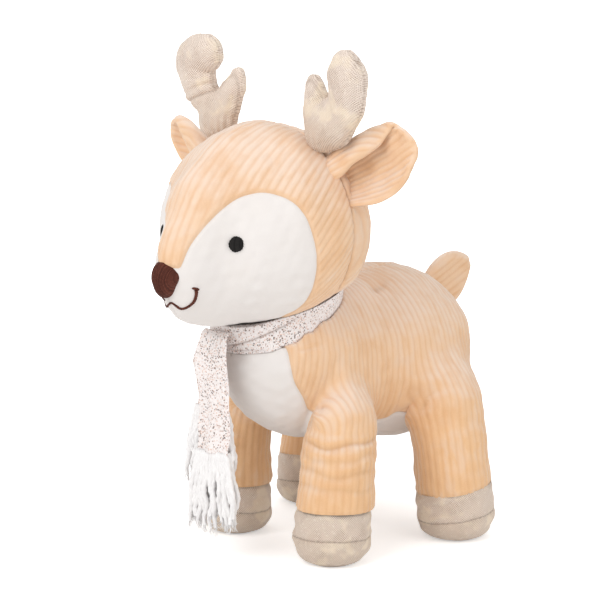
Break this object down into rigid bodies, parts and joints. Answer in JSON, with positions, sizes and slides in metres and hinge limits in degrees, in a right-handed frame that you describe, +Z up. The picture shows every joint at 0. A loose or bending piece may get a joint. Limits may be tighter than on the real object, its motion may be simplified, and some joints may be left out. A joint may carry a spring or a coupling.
{
  "type": "plush deer",
  "caption": "Standing plush fawn with a ball head on a sewn neck, soft antlers, cupped ears, stuffed legs with knit hooves, a flat tail and a fringed scarf.",
  "frame": {"origin": "on the floor, under the middle of the deer's box", "axes": "+Z up, the deer faces -Y and its own left side is +X"},
  "size_m": [0.1812, 0.2666, 0.3019],
  "materials": {
    "velour_tan": "ribbed velour, soft sheen",
    "velour_white": "smooth short velour",
    "knit_gold": "fine knit with metallic thread",
    "stuffing": "polyester fibre",
    "thread_brown": "satin stitch",
    "thread_black": "satin stitch",
    "scarf_cloth": "thin cloth with foil specks",
    "yarn_white": "loose brushed yarn"
  },
  "bodies": {
    "torso": {"body_side_left": "velour_tan", "body_side_right": "velour_tan", "belly_panel": "velour_white", "body_stuffing": "stuffing", "scarf_band": "scarf_cloth"},
    "head": {"head_cap_panel": "velour_tan", "head_back_panel": "velour_tan", "face_panel_left": "velour_white", "face_panel_right": "velour_white", "head_stuffing": "stuffing", "eye_left": "thread_black", "eye_right": "thread_black", "nose": "thread_brown", "mouth_stitching": "thread_brown"},
    "ear_left": {"ear_left_front": "velour_tan", "ear_left_back": "velour_tan"},
    "ear_right": {"ear_right_front": "velour_tan", "ear_right_back": "velour_tan"},
    "antler_left": {"antler_left_front_panel": "knit_gold", "antler_left_back_panel": "knit_gold", "antler_left_stuffing": "stuffing"},
    "antler_right": {"antler_right_front_panel": "knit_gold", "antler_right_back_panel": "knit_gold", "antler_right_stuffing": "stuffing"},
    "tail": {"tail_left_panel": "velour_tan", "tail_right_panel": "velour_tan"},
    "leg_front_left": {"leg_front_left_sleeve": "velour_tan", "leg_front_left_stuffing": "stuffing", "hoof_front_left_upper": "knit_gold", "hoof_front_left_sole": "knit_gold"},
    "leg_front_right": {"leg_front_right_sleeve": "velour_tan", "leg_front_right_stuffing": "stuffing", "hoof_front_right_upper": "knit_gold", "hoof_front_right_sole": "knit_gold"},
    "leg_rear_left": {"leg_rear_left_sleeve": "velour_tan", "leg_rear_left_stuffing": "stuffing", "hoof_rear_left_upper": "knit_gold", "hoof_rear_left_sole": "knit_gold"},
    "leg_rear_right": {"leg_rear_right_sleeve": "velour_tan", "leg_rear_right_stuffing": "stuffing", "hoof_rear_right_upper": "knit_gold", "hoof_rear_right_sole": "knit_gold"},
    "scarf_ends": {"scarf_tail_front": "scarf_cloth", "scarf_tail_rear": "scarf_cloth", "fringe_front": "yarn_white", "fringe_rear": "yarn_white"}
  },
  "joints": [
    {"name": "head_turn", "type": "hinge", "parent": "torso", "child": "head", "pos_m": [0.00105, -0.04348, 0.1918], "axis": [0.054, -0.3381, 0.9396], "range_deg": [-25, 15], "stiffness_Nm_per_rad": 0.3},
    {"name": "ear_left_flop", "type": "hinge", "parent": "head", "child": "ear_left", "pos_m": [0.05297, -0.02237, 0.22346], "axis": [-0.4556, 0.0482, 0.8889], "range_deg": [-15, 15], "stiffness_Nm_per_rad": 0.05},
    {"name": "ear_right_flop", "type": "hinge", "parent": "head", "child": "ear_right", "pos_m": [-0.05331, -0.03467, 0.22514], "axis": [0.46, 0.1541, 0.8744], "range_deg": [-15, 15], "stiffness_Nm_per_rad": 0.05},
    {"name": "antler_left_bend", "type": "hinge", "parent": "head", "child": "antler_left", "pos_m": [0.03848, -0.03311, 0.2472], "axis": [0.9933, 0.1149, -0.0157], "range_deg": [-8, 8], "stiffness_Nm_per_rad": 0.1},
    {"name": "antler_right_bend", "type": "hinge", "parent": "head", "child": "antler_right", "pos_m": [-0.03601, -0.04173, 0.24838], "axis": [0.9933, 0.1149, -0.0157], "range_deg": [-8, 8], "stiffness_Nm_per_rad": 0.1},
    {"name": "tail_wag", "type": "hinge", "parent": "torso", "child": "tail", "pos_m": [0.00105, 0.09822, 0.1385], "axis": [0, -0.6357, 0.7719], "range_deg": [-20, 20], "stiffness_Nm_per_rad": 0.05},
    {"name": "leg_front_left_swing", "type": "hinge", "parent": "torso", "child": "leg_front_left", "pos_m": [0.04155, -0.02628, 0.073], "axis": [1, 0, 0], "range_deg": [-6, 6], "stiffness_Nm_per_rad": 1},
    {"name": "leg_front_right_swing", "type": "hinge", "parent": "torso", "child": "leg_front_right", "pos_m": [-0.03945, -0.02628, 0.073], "axis": [1, 0, 0], "range_deg": [-6, 6], "stiffness_Nm_per_rad": 1},
    {"name": "leg_rear_left_swing", "type": "hinge", "parent": "torso", "child": "leg_rear_left", "pos_m": [0.04905, 0.05742, 0.079], "axis": [1, 0, 0], "range_deg": [-6, 6], "stiffness_Nm_per_rad": 1},
    {"name": "leg_rear_right_swing", "type": "hinge", "parent": "torso", "child": "leg_rear_right", "pos_m": [-0.04695, 0.05742, 0.079], "axis": [1, 0, 0], "range_deg": [-6, 6], "stiffness_Nm_per_rad": 1},
    {"name": "scarf_swing", "type": "hinge", "parent": "torso", "child": "scarf_ends", "pos_m": [0.00105, -0.08058, 0.137], "axis": [1, 0, 0], "range_deg": [-50, 0]}
  ]
}
